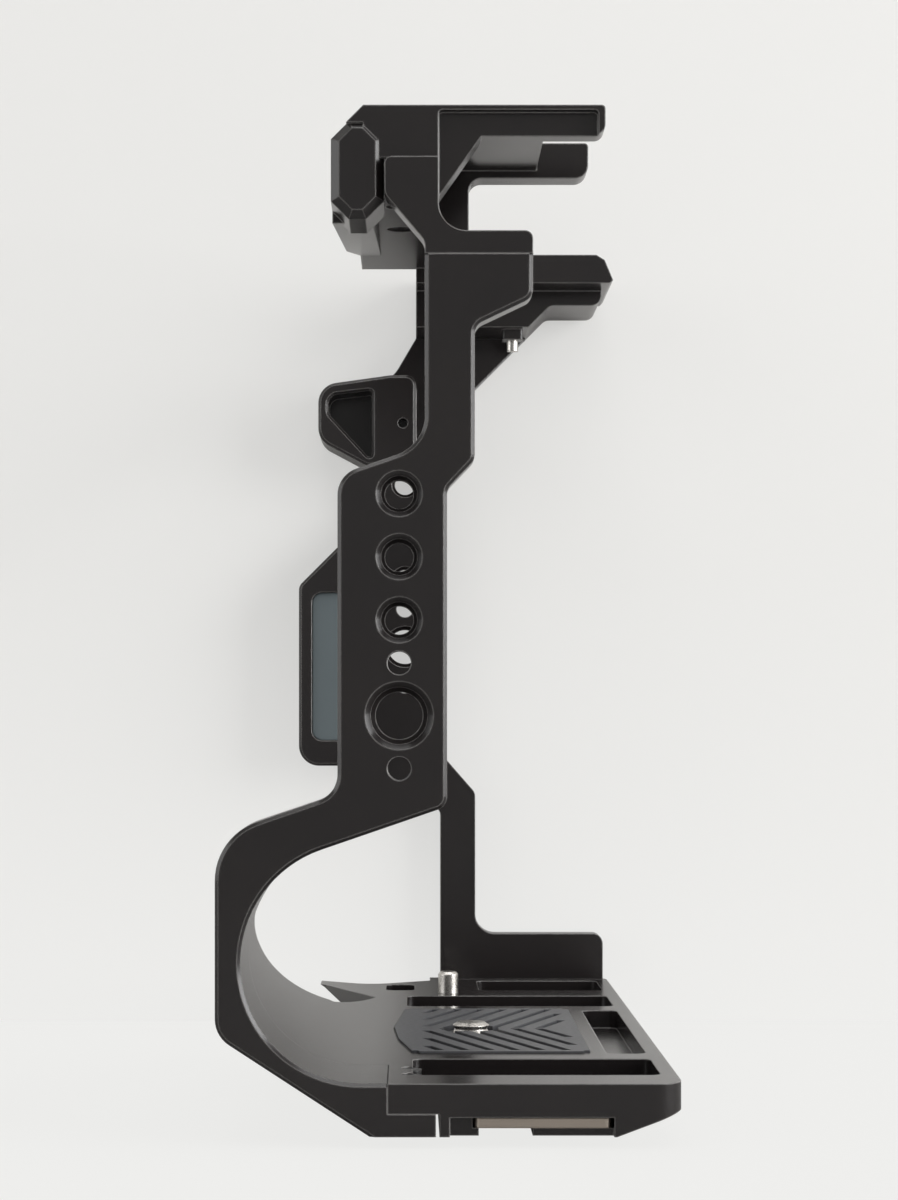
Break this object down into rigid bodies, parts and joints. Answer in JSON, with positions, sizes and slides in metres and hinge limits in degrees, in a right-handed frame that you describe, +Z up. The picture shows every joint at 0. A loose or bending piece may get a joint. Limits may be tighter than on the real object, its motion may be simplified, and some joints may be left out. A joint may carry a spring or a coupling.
{
  "type": "camera cage",
  "caption": "Open metal frame that bolts round a camera body, with a palm rest, threaded side walls, a top plate with fingers, a captive camera screw and a stowed wrench.",
  "frame": {"origin": "under the middle of the cage, on the plane that the lowest screw heads touch", "axes": "+Z up, +X out of the side wall with the hook, -Y towards the lens side, +Y towards the camera's back"},
  "size_m": [0.15, 0.0676, 0.1502],
  "materials": {
    "black_metal": "black anodised, satin",
    "rubber_pad": "matt, ribbed",
    "grey_silicone": "matt",
    "bright_steel": "turned, plain",
    "black_steel": "black oxide"
  },
  "bodies": {
    "cage": {"base_plate": "black_metal", "left_side_frame": "black_metal", "right_side_frame": "black_metal", "top_plate": "black_metal", "camera_pad": "rubber_pad", "locating_pin": "bright_steel", "wrench_magnets": "bright_steel", "side_inlay": "grey_silicone", "left_base_screws": "black_steel", "right_base_screws": "black_steel", "right_top_screws": "black_steel", "left_top_screws": "black_steel"},
    "washer": {"screw_washer": "bright_steel"},
    "screw": {"camera_screw": "bright_steel"},
    "wrench": {"flat_wrench": "bright_steel"},
    "strap_screw": {"strap_clamp_screw": "bright_steel"}
  },
  "joints": [
    {"name": "camera_screw_rise", "type": "slide", "parent": "cage", "child": "washer", "axis": [0, 0, 1], "range_m": [0, 0.0032]},
    {"name": "camera_screw_turn", "type": "hinge", "parent": "washer", "child": "screw", "pos_m": [0.0116, 0.0046, 0.006], "axis": [0, 0, 1], "continuous": true},
    {"name": "wrench_slide", "type": "slide", "parent": "cage", "child": "wrench", "axis": [1, 0, 0], "range_m": [0, 0.052]},
    {"name": "strap_screw_turn", "type": "hinge", "parent": "cage", "child": "strap_screw", "pos_m": [-0.06, 0.0144, 0.1345], "axis": [0, 0, 1], "continuous": true}
  ]
}
